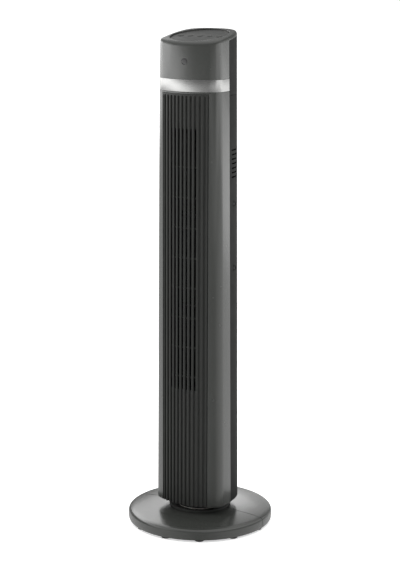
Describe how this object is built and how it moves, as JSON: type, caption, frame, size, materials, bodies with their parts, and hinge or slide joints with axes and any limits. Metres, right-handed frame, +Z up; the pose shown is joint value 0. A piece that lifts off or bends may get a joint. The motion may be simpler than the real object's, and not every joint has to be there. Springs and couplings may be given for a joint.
{
  "type": "tower fan",
  "caption": "Ribbed tower fan with a raked control head and a brushed band, swinging on a round pedestal, with a cross-flow drum inside.",
  "frame": {"origin": "on the floor, at the centre of the round base, on the swing axis", "axes": "+Z up, the air outlet faces -Y, +X to the right of someone facing along +Y"},
  "size_m": [0.3, 0.3, 1.0231],
  "materials": {
    "gloss_shell": "moulded dark grey, glossy",
    "satin_shell": "moulded dark grey, satin",
    "matte_shell": "moulded charcoal, fine texture",
    "brushed_band": "brushed along its length",
    "black_moulding": "moulded black",
    "white_nylon": "natural nylon",
    "zinc_steel": "zinc plated",
    "cast_cap": "die cast",
    "bronze": "sintered, oiled",
    "black_rubber": "moulded black",
    "circuit_laminate": "green solder mask"
  },
  "bodies": {
    "base": {"base_front_half": "gloss_shell", "base_rear_half": "gloss_shell", "ballast_plate": "zinc_steel", "foot_01": "black_rubber", "foot_02": "black_rubber", "foot_03": "black_rubber", "foot_04": "black_rubber", "foot_05": "black_rubber", "foot_06": "black_rubber", "foot_07": "black_rubber", "foot_08": "black_rubber", "foot_09": "black_rubber", "foot_10": "black_rubber", "foot_11": "black_rubber", "foot_12": "black_rubber", "swivel_post": "black_moulding", "post_screw_1": "zinc_steel", "post_screw_2": "zinc_steel", "post_screw_3": "zinc_steel", "post_screw_4": "zinc_steel", "collar_ring": "satin_shell", "bearing_washer": "white_nylon", "ring_gear": "white_nylon", "cable_gland": "black_rubber"},
    "tower": {"tower_bottom_cap": "black_moulding", "front_shell": "gloss_shell", "front_grille": "satin_shell", "rear_shell": "matte_shell", "shell_screw_left_1": "zinc_steel", "shell_screw_right_1": "zinc_steel", "shell_screw_left_2": "zinc_steel", "shell_screw_right_2": "zinc_steel", "swing_motor": "zinc_steel", "swing_motor_bracket": "zinc_steel", "lower_deck": "black_moulding", "upper_deck": "black_moulding", "duct_scroll": "black_moulding", "duct_tongue": "black_moulding", "motor_housing": "zinc_steel", "motor_end_cap": "cast_cap", "motor_stator": "zinc_steel", "bearing_bush": "bronze", "bearing_grommet": "black_rubber", "motor_capacitor": "white_nylon", "metal_band": "brushed_band", "head_front_shell": "gloss_shell", "head_rear_cover": "matte_shell", "ir_window": "black_moulding", "control_panel": "black_moulding", "control_board": "circuit_laminate"},
    "impeller": {"impeller_drum": "black_moulding", "motor_rotor": "zinc_steel", "stub_shaft": "zinc_steel"},
    "pinion": {"swing_pinion": "white_nylon"},
    "power_key": {"power_button": "satin_shell"},
    "speed_key": {"speed_button": "satin_shell"},
    "mode_key": {"mode_button": "satin_shell"},
    "swing_key": {"swing_button": "satin_shell"},
    "timer_key": {"timer_button": "satin_shell"}
  },
  "joints": [
    {"name": "swing", "type": "hinge", "parent": "base", "child": "tower", "pos_m": [0, 0, 0.05], "axis": [0, 0, 1], "range_deg": [-35, 35]},
    {"name": "pinion_spin", "type": "hinge", "parent": "tower", "child": "pinion", "pos_m": [0, 0.0375, 0.056], "axis": [0, 0, 1], "range_deg": [-140, 140]},
    {"name": "impeller_spin", "type": "hinge", "parent": "tower", "child": "impeller", "pos_m": [0, 0.003, 0.276], "axis": [0, 0, 1], "continuous": true},
    {"name": "power_press", "type": "slide", "parent": "tower", "child": "power_key", "axis": [0, 0.1736, -0.9848], "range_m": [0, 0.0008], "stiffness_N_per_m": 900, "springref_m": -0.0004},
    {"name": "speed_press", "type": "slide", "parent": "tower", "child": "speed_key", "axis": [0, 0.1736, -0.9848], "range_m": [0, 0.0008], "stiffness_N_per_m": 900, "springref_m": -0.0004},
    {"name": "mode_press", "type": "slide", "parent": "tower", "child": "mode_key", "axis": [0, 0.1736, -0.9848], "range_m": [0, 0.0008], "stiffness_N_per_m": 900, "springref_m": -0.0004},
    {"name": "swing_press", "type": "slide", "parent": "tower", "child": "swing_key", "axis": [0, 0.1736, -0.9848], "range_m": [0, 0.0008], "stiffness_N_per_m": 900, "springref_m": -0.0004},
    {"name": "timer_press", "type": "slide", "parent": "tower", "child": "timer_key", "axis": [0, 0.1736, -0.9848], "range_m": [0, 0.0008], "stiffness_N_per_m": 900, "springref_m": -0.0004}
  ],
  "couplings": [
    {"joint": "pinion_spin", "follows": "swing", "ratio": 4}
  ]
}
